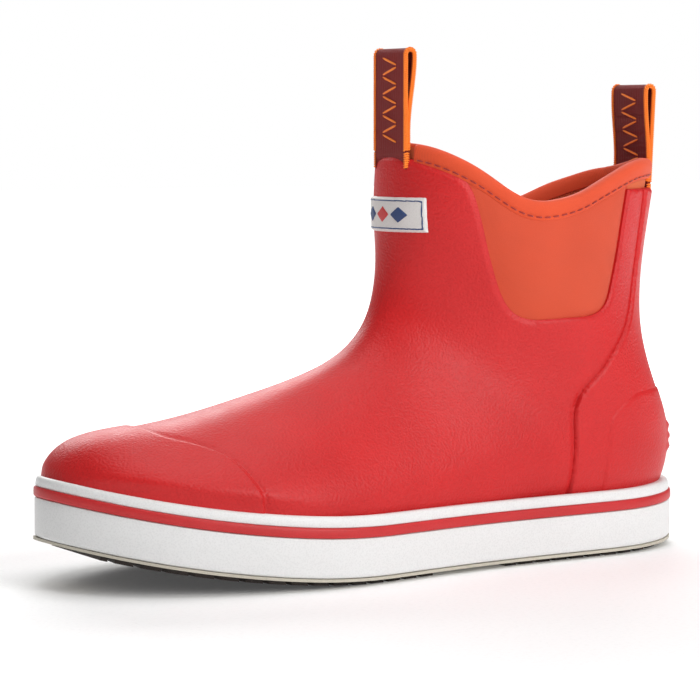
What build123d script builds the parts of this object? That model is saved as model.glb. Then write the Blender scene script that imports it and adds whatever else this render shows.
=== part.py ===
"""Left rubber deck boot: moulded shell, stretch gores, bootie, webbing pulls, insole and cup sole.

+X points to the toe, +Y to the outer side of the foot, +Z up. The ground is z = 0 and the
origin is under the middle of the sole. Millimetres throughout.
"""
from build123d import *
from math import atan2, copysign, cos, degrees, hypot, pi, sin
import os

os.makedirs("parts", exist_ok=True)

# ---- Sole ----
TREAD = 2.0  # height of the lugs under the sidewall
WALL = 26.5  # height of the white sidewall
STRIPE_LOW = 17.9
STRIPE_HIGH = 21.8
STRIPE_PROUD = 0.5
STRIPE_DEPTH = 1.2
SHEET = 1.2  # base sheet that carries the lugs
LUG_BASE = 0.6
TOE_SPRING = 17.8
TOE_START = 18.0
TOE_RUN = 133.0
TOE_POWER = 1.9
HEEL_START = -105.0
HEEL_LIFT = 1.1
HEEL_RUN = 46.0

# Plan outline of the sidewall, anticlockwise from the toe tip seen from below.
SOLE_OUTLINE = [
    (151, -6), (141, 19), (116, 38.5), (82, 50), (45, 55), (5, 50), (-40, 44), (-90, 41.5),
    (-128, 34.5), (-148, 16), (-151, -2), (-146, -19), (-126, -34.5), (-90, -39.5), (-40, -40.5),
    (5, -45.5), (45, -53.5), (78, -55.5), (112, -48.5), (139, -32),
]

# ---- Upper ----
# Each row is one slice from the instep line to the sole or heel line, heights above the sidewall
# base: front x, front z, back x, back z, half width, sideways shift, fullness bias, roundness.
STATIONS = [
    (146.0, 42.0, 146.0, 39.0, 3.0, -7.0, 0.0, 2.0),
    (144.0, 48.0, 144.0, 33.0, 13.0, -7.0, -0.10, 2.1),
    (138.0, 54.5, 138.0, 30.0, 24.2, -6.5, -0.20, 2.2),
    (126.0, 59.5, 126.0, 26.0, 35.4, -5.0, -0.30, 2.3),
    (108.0, 62.0, 108.0, 20.0, 43.5, -3.0, -0.38, 2.4),
    (84.0, 66.0, 84.0, 15.0, 48.0, -1.0, -0.42, 2.4),
    (58.0, 72.5, 56.0, 13.0, 48.5, 0.0, -0.46, 2.35),
    (37.0, 78.5, 28.0, 12.0, 46.0, 0.5, -0.48, 2.3),
    (19.0, 85.5, -5.0, 12.0, 43.2, 1.0, -0.46, 2.25),
    (7.5, 93.5, -45.0, 12.0, 40.2, 1.0, -0.42, 2.2),
    (0.0, 103.0, -95.0, 12.0, 39.5, 0.5, -0.34, 2.2),
    (-4.0, 113.0, -136.0, 15.0, 38.5, 0.0, -0.25, 2.2),
    (-6.0, 123.0, -149.0, 42.0, 38.5, 0.0, -0.17, 2.2),
    (-7.0, 133.0, -142.0, 68.0, 39.0, 0.0, -0.10, 2.2),
    (-7.5, 143.0, -134.5, 92.0, 40.0, 0.0, -0.04, 2.25),
    (-8.0, 154.0, -133.5, 115.0, 41.5, 0.0, 0.0, 2.25),
    (-9.0, 167.0, -136.5, 140.0, 43.0, 0.0, 0.0, 2.25),
    (-10.5, 181.0, -140.5, 165.0, 44.5, 0.0, 0.0, 2.25),
    (-11.5, 194.0, -143.0, 186.0, 45.5, 0.0, 0.0, 2.25),
]
SLICE_POINTS = 12

# ---- Layers, as depth below the shell's outer face ----
EMBLEM_FACE = -2.0
OVERLAY_FACE = -1.2  # toe cap, counter and badge stand this far out
THREAD_FACE = 0.6
KNIT_FACE = 1.0
SHELL_INNER = 2.2
WEBBING_INNER = 3.4
BOOTIE_INNER = 5.2
LINING_INNER = 6.0
BINDING_INNER = 7.0
BINDING_FOLD = 1.2

# ---- Trim lines seen from the side, heights above the sidewall base ----
SHELL_FRONT_TOP = 172.3
SHELL_REAR_TOP = 157.5
COLLAR_DIP = [(-10, 172.3), (-17.3, 168.2), (-23.6, 165.0), (-27.8, 162.5)]
GORE_EDGE = [
    (-27.8, 162.5), (-30.9, 157.7), (-32.9, 151.6), (-35.3, 143.1), (-38.2, 132.7), (-41.8, 122.2),
    (-46.0, 112.4), (-51.1, 105.7), (-57.6, 102.6), (-65.0, 102.2), (-79.0, 102.8), (-92.0, 104.0),
    (-98.0, 107.3), (-102.2, 116.1), (-105.6, 129.3), (-107.6, 142.6), (-109.7, 157.5),
]
BINDING_LOW = [
    (20, 172.8), (-9, 172.7), (-14, 171.4), (-23.5, 166.8), (-31, 161.8), (-39, 156.4), (-47.5, 151.2),
    (-57, 147.6), (-66.5, 146.5), (-77, 147.6), (-88, 151), (-100, 155.0), (-110, 158.0),
    (-118, 159.0), (-135, 159.2), (-170, 159.2),
]
BINDING_TOP = [
    (170, 181.5), (95, 180.6), (20, 179.5), (-9, 178.9), (-14.4, 177.4), (-23.6, 173.2), (-33.8, 167.2), (-43.7, 160.2),
    (-53, 155.0), (-61, 153.2), (-71, 153.8), (-82, 156.3), (-93, 160.7), (-105.5, 165.6),
    (-116, 168.8), (-130, 170.2), (-145, 170.4), (-170, 170.4),
]
TOE_CAP_EDGE = [
    (110.5, 72), (109.5, 62), (105, 59.4), (98.5, 57.7), (92, 55.5), (87.2, 52.8), (83.4, 48.5),
    (80.5, 43.3), (78.5, 38.5), (77.4, 33.5), (77, 15),
]
COUNTER_EDGE = [
    (-123.4, 157.5), (-122.4, 141.3), (-120.2, 123.6), (-117.6, 111.2), (-114.8, 102.9), (-109.5, 94.8),
    (-101.9, 87), (-92.8, 77.9), (-85.9, 72), (-81.7, 65.8), (-80.5, 59), (-80.6, 48.3),
    (-79.8, 39.5), (-79.2, 31.9), (-79, 15),
]
PATCH_EDGE = [
    (-150, 69), (-128, 69), (-113, 67.8), (-104.5, 63.2), (-99.6, 58.1), (-98.2, 53), (-97.9, 44.3),
    (-96.5, 37.2), (-96, 29.5), (-96, 15),
]

# ---- Insole floor: height of the filler's top along the boot ----
FLOOR = [(-170, 21), (-60, 21), (20, 21), (60, 22.2), (84, 24.6), (108, 29.6), (126, 35), (142, 41)]
BOARD = 1.8
FOOTBED_GAP = 0.5
FOAM = 4.0
COVER = 1.2
FOOTBED_TIP = 128.0

# ---- Webbing pulls ----
WEB_WIDTH = 26.0
WEB_THICK = 1.2
LOOP_HEIGHT = 44.4
LOOP_SPREAD = 5.6
LOOP_JOIN = 13.0
FRONT_PULL_AT = (-11.3, 173.8)
REAR_PULL_AT = (-138.4, 159.2)
REAR_PULL_LEAN = 3.0
TAIL = 22.0

# ---- Badge ----
BADGE_WIDTH = 44.0
BADGE_LOW = 140.0
BADGE_HIGH = 155.0
BADGE_BORDER = 1.3


def nested_stations(depth):
    """Stations of a surface lying a constant depth inside the outer face."""
    last = len(STATIONS) - 1
    rows = []
    for i, (fx, fz, bx, bz, half, shift, bias, power) in enumerate(STATIONS):
        if i == 0:
            rows.append((fx - depth, fz, bx - depth, bz, half, shift, bias, power))
            continue
        before = STATIONS[i - 1]
        after = STATIONS[min(i + 1, last)]
        front_run = (after[0] - before[0], after[1] - before[1])
        back_run = (after[2] - before[2], after[3] - before[3])
        front_len = hypot(*front_run)
        back_len = hypot(*back_run)
        spine = hypot(front_run[0] + back_run[0], front_run[1] + back_run[1]) / 2
        narrowing = spine / hypot(spine, after[4] - before[4])
        lift = depth if i == last else 0.0
        rows.append((
            fx - depth * front_run[1] / front_len,
            fz + depth * front_run[0] / front_len + lift,
            bx + depth * back_run[1] / back_len,
            bz - depth * back_run[0] / back_len + lift,
            half - depth * narrowing,
            shift, bias, power,
        ))
    return rows


def slice_points(row):
    """Closed outline of one slice, in its own plane."""
    fx, fz, bx, bz, half, shift, bias, power = row
    length = hypot(bx - fx, bz - fz)
    points = []
    for k in range(SLICE_POINTS):
        turn = 2 * pi * k / SLICE_POINTS
        side = sin(turn + bias * sin(turn))
        out = copysign(abs(side) ** (2 / power), side) if abs(side) > 1e-9 else 0.0
        points.append((length * (1 - cos(turn)) / 2, shift + half * out))
    return points


def upper_block(depth, first=0):
    """Solid body of the foot and shaft at one layer depth, from one station on."""
    with BuildPart() as block:
        for row in nested_stations(depth)[first:]:
            fx, fz, bx, bz = row[:4]
            plane = Plane(origin=(fx, 0, fz + TREAD), x_dir=(bx - fx, 0, bz - fz), z_dir=(fz - bz, 0, bx - fx))
            with BuildSketch(plane):
                with BuildLine():
                    Spline(*slice_points(row), periodic=True)
                make_face()
        loft()
    return block.part


def side_prism(curve, corners, low_y=-100.0, high_y=100.0):
    """Prism across the boot with one curved edge and straight ones through the corners."""
    lifted = [(x, z + TREAD) for x, z in curve]
    outer = [(x, z + TREAD) for x, z in corners]
    with BuildPart() as prism:
        with BuildSketch(Plane.XZ.offset(-high_y)):
            with BuildLine():
                Spline(*lifted)
                Polyline(lifted[-1], *outer, lifted[0])
            make_face()
        extrude(amount=high_y - low_y)
    return prism.part


def below(curve, drop=0.0):
    """Everything below a trim line."""
    lowered = [(x, z - drop) for x, z in curve]
    return side_prism(lowered, [(lowered[-1][0], -30), (lowered[0][0], -30)])


def above(curve, drop=0.0):
    """Everything above a trim line."""
    lowered = [(x, z - drop) for x, z in curve]
    return side_prism(lowered, [(lowered[-1][0], 260), (lowered[0][0], 260)])


def sole_rise(x):
    """Height of the sidewall's base line over the ground line."""
    if x > TOE_START:
        return TOE_SPRING * ((x - TOE_START) / TOE_RUN) ** TOE_POWER
    if x < HEEL_START:
        return HEEL_LIFT * ((HEEL_START - x) / HEEL_RUN) ** 2
    return 0.0


def sole_band(low, high):
    """Band of the sole between two heights above its base line."""
    heel_x = [-158, -145, -131, -118, HEEL_START]
    toe_x = [TOE_START, 45, 72, 99, 126, 158]
    with BuildPart() as band:
        with BuildSketch(Plane.XZ):
            with BuildLine():
                for height in (low, high):
                    level = TREAD + height
                    heel = [(x, sole_rise(x) + level) for x in heel_x]
                    toe = [(x, sole_rise(x) + level) for x in toe_x]
                    Spline(*heel)
                    Line(heel[-1], toe[0])
                    Spline(*toe)
                Line((heel_x[0], sole_rise(heel_x[0]) + TREAD + low), (heel_x[0], sole_rise(heel_x[0]) + TREAD + high))
                Line((toe_x[-1], sole_rise(toe_x[-1]) + TREAD + low), (toe_x[-1], sole_rise(toe_x[-1]) + TREAD + high))
            make_face()
        extrude(amount=90, both=True)
    return band.part


def sole_prism(inset, low, high):
    """Sole shape in plan, moved in by inset, between two heights above the base line."""
    count = len(SOLE_OUTLINE)
    points = []
    for i, (x, y) in enumerate(SOLE_OUTLINE):
        ax, ay = SOLE_OUTLINE[i - 1]
        bx, by = SOLE_OUTLINE[(i + 1) % count]
        run = hypot(bx - ax, by - ay)
        points.append((x - inset * (by - ay) / run, y + inset * (bx - ax) / run))
    with BuildPart() as prism:
        with BuildSketch(Plane.XY.offset(-5)):
            with BuildLine():
                Spline(*points, periodic=True)
            make_face()
        extrude(amount=70)
        add(sole_band(low, high), mode=Mode.INTERSECT)
    return prism.part


def span(x_low, x_high, y_low, y_high, z_low, z_high):
    """Box between limits, heights above the sidewall base."""
    with BuildPart() as box:
        with Locations(((x_low + x_high) / 2, (y_low + y_high) / 2, (z_low + z_high) / 2 + TREAD)):
            Box(x_high - x_low, y_high - y_low, z_high - z_low)
    return box.part


def save(builder, name):
    """Label one finished piece and write it out."""
    builder.part.label = name
    export_step(builder.part, "parts/" + name + ".step")


# ---- Shared blocks ----
OUTER = upper_block(0.0)
OVERLAY = upper_block(OVERLAY_FACE)
EMBLEM = upper_block(EMBLEM_FACE, 10)
THREAD = upper_block(THREAD_FACE)
KNIT = upper_block(KNIT_FACE)
SHELL_IN = upper_block(SHELL_INNER)
WEB_IN = upper_block(WEBBING_INNER)
BOOTIE_IN = upper_block(BOOTIE_INNER)
LINING_IN = upper_block(LINING_INNER)
BINDING_IN = upper_block(BINDING_INNER)
SOLE = sole_prism(0.0, 0.0, WALL)
STRIPE = sole_prism(-STRIPE_PROUD, STRIPE_LOW, STRIPE_HIGH)
CAVITY_SIDE = (WEB_WIDTH + 1.6) / 2
FRONT_NOTCH = span(-13.2, 5, -CAVITY_SIDE, CAVITY_SIDE, SHELL_FRONT_TOP, 200)
REAR_NOTCH = span(-160, -136.4, -CAVITY_SIDE, CAVITY_SIDE, SHELL_REAR_TOP, 200)
FRONT_TAIL = span(-40, 10, -WEB_WIDTH / 2, WEB_WIDTH / 2, SHELL_FRONT_TOP - TAIL, SHELL_FRONT_TOP)
REAR_TAIL = span(-160, -110, -WEB_WIDTH / 2, WEB_WIDTH / 2, SHELL_REAR_TOP - TAIL, SHELL_REAR_TOP)

# ---- Moulded rubber shell with the two gore windows ----
with BuildPart() as rubber_shell:
    add(OUTER)
    add(SHELL_IN, mode=Mode.SUBTRACT)
    add(
        side_prism(COLLAR_DIP + GORE_EDGE[1:], [(-170, SHELL_REAR_TOP), (-170, 230), (30, 230), (30, SHELL_FRONT_TOP)]),
        mode=Mode.SUBTRACT,
    )
save(rubber_shell, "rubber_shell")

# ---- Rubber overlays on the shell ----
with BuildPart() as toe_cap:
    add(OVERLAY)
    add(OUTER, mode=Mode.SUBTRACT)
    add(side_prism(TOE_CAP_EDGE, [(170, 15), (170, 72)]), mode=Mode.INTERSECT)
    add(SOLE, mode=Mode.SUBTRACT)
    add(side_prism([(60, 22), (90, 22), (120, 24), (165, 30)], [(165, 0), (60, 0)]), mode=Mode.SUBTRACT)
save(toe_cap, "toe_cap")

with BuildPart() as heel_counter:
    add(OVERLAY)
    add(OUTER, mode=Mode.SUBTRACT)
    add(side_prism(COUNTER_EDGE, [(-175, 15), (-175, SHELL_REAR_TOP)]), mode=Mode.INTERSECT)
    add(SOLE, mode=Mode.SUBTRACT)
    add(span(-175, -60, -80, 80, 0, WALL - 1), mode=Mode.SUBTRACT)
save(heel_counter, "heel_counter")

with BuildPart() as heel_patch:
    add(EMBLEM)
    add(OVERLAY, mode=Mode.SUBTRACT)
    add(side_prism(PATCH_EDGE, [(-175, 15), (-175, 69)]), mode=Mode.INTERSECT)
    add(SOLE, mode=Mode.SUBTRACT)
    add(span(-175, -60, -80, 80, 0, WALL - 1), mode=Mode.SUBTRACT)
save(heel_patch, "heel_patch")

# ---- Stretch gores, one each side ----
for name, low_y, high_y in (("gore_outer_side", 0, 100), ("gore_inner_side", -100, 0)):
    with BuildPart() as gore:
        add(KNIT)
        add(SHELL_IN, mode=Mode.SUBTRACT)
        add(side_prism(GORE_EDGE, [(-109.7, 175), (-27.8, 175)], low_y, high_y), mode=Mode.INTERSECT)
        add(below(BINDING_LOW), mode=Mode.INTERSECT)
    save(gore, name)

# ---- Webbing tails trapped between shell and bootie ----
for name, reach in (("front_pull_tail", FRONT_TAIL), ("rear_pull_tail", REAR_TAIL)):
    with BuildPart() as tail:
        add(SHELL_IN)
        add(WEB_IN, mode=Mode.SUBTRACT)
        add(reach, mode=Mode.INTERSECT)
    save(tail, name)

# ---- Foam bootie and mesh lining ----
with BuildPart() as foam_bootie:
    add(SHELL_IN)
    add(below(BINDING_TOP, BINDING_FOLD), mode=Mode.INTERSECT)
    for reach in (FRONT_TAIL, REAR_TAIL):
        add(reach, mode=Mode.SUBTRACT)
    for notch in (FRONT_NOTCH, REAR_NOTCH):
        add(notch, mode=Mode.SUBTRACT)
    with BuildPart(mode=Mode.PRIVATE) as core:
        add(WEB_IN)
        add(below(BINDING_TOP, BINDING_FOLD), mode=Mode.INTERSECT)
        for notch in (FRONT_NOTCH, REAR_NOTCH):
            add(notch, mode=Mode.SUBTRACT)
    add(core.part)
    add(BOOTIE_IN, mode=Mode.SUBTRACT)
save(foam_bootie, "foam_bootie")

with BuildPart() as mesh_lining:
    add(BOOTIE_IN)
    add(LINING_IN, mode=Mode.SUBTRACT)
    add(below(BINDING_TOP, BINDING_FOLD), mode=Mode.INTERSECT)
save(mesh_lining, "mesh_lining")

# ---- Folded collar binding and its row of stitching ----
with BuildPart() as collar_binding:
    add(KNIT)
    add(BINDING_IN, mode=Mode.SUBTRACT)
    add(below(BINDING_TOP), mode=Mode.INTERSECT)
    add(above(BINDING_LOW), mode=Mode.INTERSECT)
    for notch in (FRONT_NOTCH, REAR_NOTCH):
        add(notch, mode=Mode.SUBTRACT)
    with BuildPart(mode=Mode.PRIVATE) as folded_edge:
        add(SHELL_IN)
        add(LINING_IN, mode=Mode.SUBTRACT)
        add(below(BINDING_TOP, BINDING_FOLD), mode=Mode.INTERSECT)
    add(folded_edge.part, mode=Mode.SUBTRACT)
save(collar_binding, "collar_binding")

with BuildPart() as collar_stitching:
    add(THREAD)
    add(KNIT, mode=Mode.SUBTRACT)
    add(above(BINDING_LOW, -1.2), mode=Mode.INTERSECT)
    add(below(BINDING_LOW, -2.0), mode=Mode.INTERSECT)
    add(span(-115, -20, -80, 80, 100, 200), mode=Mode.INTERSECT)
save(collar_stitching, "collar_stitching")


# ---- Webbing pull loops ----
def pull_loop(at, outward, lean):
    """Loop of webbing standing on its hinge line, bulging away from the outward side."""
    half = WEB_THICK
    crown = LOOP_HEIGHT - LOOP_SPREAD / 2
    inner = LOOP_SPREAD - WEB_THICK
    mid = WEB_THICK - LOOP_SPREAD / 2
    plane = Plane(
        origin=(at[0], WEB_WIDTH / 2, at[1] + TREAD),
        x_dir=(outward * cos(lean), 0, outward * outward * sin(lean)),
        z_dir=(0, -outward, 0),
    )
    with BuildPart() as loop:
        with BuildSketch(plane):
            with BuildLine():
                Polyline((-half, LOOP_JOIN), (-half, 0), (half, 0), (half, crown))
                ThreePointArc((half, crown), (mid, LOOP_HEIGHT), (half - LOOP_SPREAD, crown))
                Line((half - LOOP_SPREAD, crown), (-half, LOOP_JOIN))
            make_face()
            with BuildLine():
                Line((0, LOOP_JOIN), (0, crown))
                ThreePointArc((0, crown), (mid, LOOP_HEIGHT - WEB_THICK), (-inner + WEB_THICK, crown))
                Line((-inner + WEB_THICK, crown), (0, LOOP_JOIN))
            make_face(mode=Mode.SUBTRACT)
        extrude(amount=outward * WEB_WIDTH)
    return loop


save(pull_loop(FRONT_PULL_AT, 1, 0.0), "front_pull_loop")
save(pull_loop(REAR_PULL_AT, -1, REAR_PULL_LEAN * pi / 180), "rear_pull_loop")

# ---- Shin badge with a raised border and a row of plain diamonds ----
BADGE_BOX = span(-60, 20, -BADGE_WIDTH / 2, BADGE_WIDTH / 2, BADGE_LOW, BADGE_HIGH)
BADGE_MID = (BADGE_LOW + BADGE_HIGH) / 2 + TREAD
with BuildPart() as shin_badge:
    add(OVERLAY)
    add(OUTER, mode=Mode.SUBTRACT)
    add(BADGE_BOX, mode=Mode.INTERSECT)
save(shin_badge, "shin_badge")

with BuildPart() as print_layer:
    add(EMBLEM)
    add(OVERLAY, mode=Mode.SUBTRACT)
    add(BADGE_BOX, mode=Mode.INTERSECT)

with BuildPart() as border_cutter:
    with BuildSketch(Plane.YZ.offset(-60)):
        with Locations((0, BADGE_MID)):
            Rectangle(BADGE_WIDTH - 2.4, BADGE_HIGH - BADGE_LOW - 2.4)
            Rectangle(
                BADGE_WIDTH - 2.4 - 2 * BADGE_BORDER,
                BADGE_HIGH - BADGE_LOW - 2.4 - 2 * BADGE_BORDER,
                mode=Mode.SUBTRACT,
            )
    extrude(amount=80)

with BuildPart() as emblem_cutter:
    with BuildSketch(Plane.YZ.offset(-60)):
        with Locations((-10, BADGE_MID), (0, BADGE_MID), (10, BADGE_MID)):
            RegularPolygon(3.6, 4)
    extrude(amount=80)

for name, cutter in (("badge_border", border_cutter), ("badge_emblem", emblem_cutter)):
    with BuildPart() as print_piece:
        add(print_layer.part)
        add(cutter.part, mode=Mode.INTERSECT)
    save(print_piece, name)

# ---- Floor of the boot ----
with BuildPart() as heel_filler:
    add(LINING_IN)
    add(below(FLOOR), mode=Mode.INTERSECT)
save(heel_filler, "heel_filler")

with BuildPart() as insole_board:
    add(LINING_IN)
    add(below(FLOOR, -BOARD), mode=Mode.INTERSECT)
    add(above(FLOOR), mode=Mode.INTERSECT)
save(insole_board, "insole_board")

# ---- Loose footbed, cushioned under a fabric cover ----
FOOTBED_BASE = BOARD + FOOTBED_GAP
FOOTBED_REACH = span(-170, FOOTBED_TIP, -80, 80, 0, 80)
for name, low, high in (
    ("footbed_foam", FOOTBED_BASE, FOOTBED_BASE + FOAM),
    ("footbed_cover", FOOTBED_BASE + FOAM, FOOTBED_BASE + FOAM + COVER),
):
    with BuildPart() as layer:
        add(BINDING_IN)
        add(below(FLOOR, -high), mode=Mode.INTERSECT)
        add(above(FLOOR, -low), mode=Mode.INTERSECT)
        add(FOOTBED_REACH, mode=Mode.INTERSECT)
    save(layer, name)

# ---- Cup sole with its cushioning core, shank, stripe and lugs ----
CORE = sole_prism(12.0, 4.0, 13.0)
SHANK = span(-100, 0, -8, 8, 6.5, 8.0)
with BuildPart() as cup_sole:
    add(SOLE)
    add(sole_prism(-1.0, -1.0, SHEET), mode=Mode.SUBTRACT)
    add(STRIPE, mode=Mode.SUBTRACT)
    add(sole_prism(STRIPE_DEPTH, STRIPE_LOW - 2, STRIPE_HIGH + 2))
    add(OUTER, mode=Mode.SUBTRACT)
    add(CORE, mode=Mode.SUBTRACT)
save(cup_sole, "cup_sole")

with BuildPart() as sidewall_stripe:
    add(STRIPE)
    add(sole_prism(STRIPE_DEPTH, STRIPE_LOW - 2, STRIPE_HIGH + 2), mode=Mode.SUBTRACT)
save(sidewall_stripe, "sidewall_stripe")

with BuildPart() as sole_core:
    add(CORE)
    add(OUTER, mode=Mode.SUBTRACT)
    add(SHANK, mode=Mode.SUBTRACT)
save(sole_core, "sole_core")

with BuildPart() as shank:
    add(SHANK)
save(shank, "shank")

with BuildPart() as base_sheet:
    add(sole_prism(0.0, 0.0, SHEET))
save(base_sheet, "base_sheet")

with BuildPart() as grooves:
    with BuildSketch(Plane.XY.offset(-5)):
        for k in range(32):
            x = -148 + 9.2 * k
            with BuildLine():
                Polyline(
                    (x, -60), (x + 5, -30), (x, 0), (x + 5, 30), (x, 60),
                    (x + 2.6, 60), (x + 7.6, 30), (x + 2.6, 0), (x + 7.6, -30), (x + 2.6, -60),
                    close=True,
                )
            make_face()
    extrude(amount=40)
    add(sole_band(-TREAD - 2, -LUG_BASE), mode=Mode.INTERSECT)

for name, x_low, x_high in (("forefoot_tread", -6, 136), ("heel_tread", -146, -44)):
    with BuildPart() as tread:
        add(sole_prism(4.5, -TREAD, 0.0))
        add(span(x_low, x_high, -80, 80, -10, 40), mode=Mode.INTERSECT)
        add(grooves.part, mode=Mode.SUBTRACT)
    save(tread, name)
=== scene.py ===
import math

import bpy
import numpy as np
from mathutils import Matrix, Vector


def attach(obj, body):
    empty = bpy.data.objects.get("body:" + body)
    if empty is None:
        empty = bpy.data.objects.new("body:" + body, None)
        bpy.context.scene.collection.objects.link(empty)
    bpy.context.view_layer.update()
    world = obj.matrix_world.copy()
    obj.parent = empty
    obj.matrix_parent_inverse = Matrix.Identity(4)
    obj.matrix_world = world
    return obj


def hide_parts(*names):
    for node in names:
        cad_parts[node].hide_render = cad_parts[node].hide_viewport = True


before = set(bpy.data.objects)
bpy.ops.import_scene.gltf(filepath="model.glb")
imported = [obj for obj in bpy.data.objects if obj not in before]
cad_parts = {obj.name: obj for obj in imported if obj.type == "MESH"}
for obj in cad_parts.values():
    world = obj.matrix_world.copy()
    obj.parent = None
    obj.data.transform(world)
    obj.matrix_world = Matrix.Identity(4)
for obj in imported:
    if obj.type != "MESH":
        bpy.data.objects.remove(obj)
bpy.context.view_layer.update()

MM = 0.001

# ---- Driving dimensions, millimetres; side-view lines are (x, height over the tread) ----
TREAD = 2.0
WALL = 26.5
LOW_TRIM = 12.0  # lower end of the shell, hidden inside the sidewall
KNIT_START = 1.4  # depths under the shell's outer face
BOOTIE_FACES = (2.4, 5.1)
LINING_FACES = (5.3, 6.0)
BINDING_STITCH_DROP = 6.9
STITCH_LENGTH, STITCH_GAP, STITCH_RADIUS = 2.9, 1.3, 0.32
WEB_HALF = 13.0
WEB_BODY_HALF = 12.6
LOOP_HEIGHT = 44.4
LOOP_SPREAD = 5.6
WEB_THICK = 1.2
RIB_PITCH = 1.8
OVERCAST_PITCH = 0.95
FRONT_PULL_AT = (-11.3, 173.8)
REAR_PULL_AT = (-138.4, 159.2)
REAR_PULL_LEAN = math.radians(3.0)
ROOT_DEPTH = 7.0
BADGE_HALF = 21.5
BADGE_LOW, BADGE_HIGH = 140.0, 155.0
BED_LIFT = 6.9  # footbed over the upper's floor line
ALONG = 440  # rows of the upper's grid, toe to shaft
AROUND = 384  # columns of it, round the section

# Closed outline of the sidewall in plan, from the toe along the outer side
SOLE_OUTLINE = [
    (151, -6), (141, 19), (116, 38.5), (82, 50), (45, 55), (5, 50), (-40, 44), (-90, 41.5),
    (-128, 34.5), (-148, 16), (-151, -2), (-146, -19), (-126, -34.5), (-90, -39.5), (-40, -40.5),
    (5, -45.5), (45, -53.5), (78, -55.5), (112, -48.5), (139, -32),
]
# Sections of the upper: front x and z, back x and z, half width, sideways shift, bias, roundness
STATIONS = [
    (146.0, 42.0, 146.0, 39.0, 3.0, -7.0, 0.0, 2.0),
    (144.0, 48.0, 144.0, 33.0, 13.0, -7.0, -0.10, 2.1),
    (138.0, 54.5, 138.0, 30.0, 25.0, -6.5, -0.20, 2.2),
    (126.0, 59.5, 126.0, 26.0, 37.0, -5.0, -0.30, 2.3),
    (108.0, 62.0, 108.0, 20.0, 46.0, -3.0, -0.38, 2.4),
    (84.0, 66.0, 84.0, 15.0, 50.5, -1.0, -0.42, 2.4),
    (58.0, 72.5, 56.0, 13.0, 51.0, 0.0, -0.46, 2.35),
    (37.0, 78.5, 28.0, 12.0, 48.5, 0.5, -0.48, 2.3),
    (19.0, 85.5, -5.0, 12.0, 44.5, 1.0, -0.46, 2.25),
    (7.5, 93.5, -45.0, 12.0, 41.5, 1.0, -0.42, 2.2),
    (0.0, 103.0, -95.0, 12.0, 39.5, 0.5, -0.34, 2.2),
    (-4.0, 113.0, -136.0, 15.0, 38.5, 0.0, -0.25, 2.2),
    (-6.0, 123.0, -149.0, 42.0, 38.5, 0.0, -0.17, 2.2),
    (-7.0, 133.0, -142.0, 68.0, 39.0, 0.0, -0.10, 2.2),
    (-7.5, 143.0, -134.5, 92.0, 40.0, 0.0, -0.04, 2.25),
    (-8.0, 154.0, -133.5, 115.0, 41.5, 0.0, 0.0, 2.25),
    (-9.0, 167.0, -136.5, 140.0, 43.0, 0.0, 0.0, 2.25),
    (-10.5, 181.0, -140.5, 165.0, 44.5, 0.0, 0.0, 2.25),
    (-11.5, 194.0, -143.0, 186.0, 45.5, 0.0, 0.0, 2.25),
]
# Shell edge from the front of the collar down to the gore
COLLAR_DIP = [(-10, 172.3), (-17.3, 168.2), (-23.6, 165.0), (-27.8, 162.5)]
GORE_EDGE = [
    (-27.8, 162.5), (-30.9, 157.7), (-32.9, 151.6), (-35.3, 143.1), (-38.2, 132.7), (-41.8, 122.2),
    (-46.0, 112.4), (-51.1, 105.7), (-57.6, 102.6), (-65.0, 102.2), (-79.0, 102.8), (-92.0, 104.0),
    (-98.0, 107.3), (-102.2, 116.1), (-105.6, 129.3), (-107.6, 142.6), (-109.7, 157.5),
]
# Top of the binding along the outer side, and along the inner side, which dips lower
BINDING_TOP = [
    (20, 179.4), (-9, 178.9), (-14.4, 177.4), (-23.6, 173.2), (-33.8, 167.2), (-43.7, 160.2),
    (-53, 155.0), (-61, 153.2), (-71, 153.8), (-82, 156.3), (-93, 160.7), (-105.5, 165.6),
    (-116, 168.8), (-130, 170.2), (-145, 170.4), (-170, 170.4),
]
INNER_SIDE_TOP = [
    (20, 179.4), (-9, 178.9), (-14.4, 177.2), (-23.6, 172.6), (-33.8, 166.0), (-43.7, 158.6),
    (-53, 153.2), (-66, 149.6), (-80, 148.6), (-92, 149.8), (-103, 153.0), (-114, 157.8), (-126, 162.2),
    (-134, 165.0), (-145, 167.0), (-170, 168.0),
]
TOE_CAP_EDGE = [
    (110.5, 72), (109.5, 62), (105, 59.4), (98.5, 57.7), (92, 55.5), (87.2, 52.8), (83.4, 48.5),
    (80.5, 43.3), (78.5, 38.5), (77.4, 33.5), (77, 15),
]
COUNTER_EDGE = [
    (-123.4, 157.5), (-122.4, 141.3), (-120.2, 123.6), (-117.6, 111.2), (-114.8, 102.9), (-109.5, 94.8),
    (-101.9, 87), (-92.8, 77.9), (-85.9, 72), (-81.7, 65.8), (-80.5, 59), (-80.6, 48.3),
    (-79.8, 39.5), (-79.2, 31.9), (-79, 15),
]
PATCH_EDGE = [
    (-150, 69), (-128, 69), (-113, 67.8), (-104.5, 63.2), (-99.6, 58.1), (-98.2, 53), (-97.9, 44.3),
    (-96.5, 37.2), (-96, 29.5), (-96, 15),
]
FLOOR = [(-170, 21), (-60, 21), (20, 21), (60, 22.2), (84, 24.6), (108, 29.6), (126, 35), (142, 41)]
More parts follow.
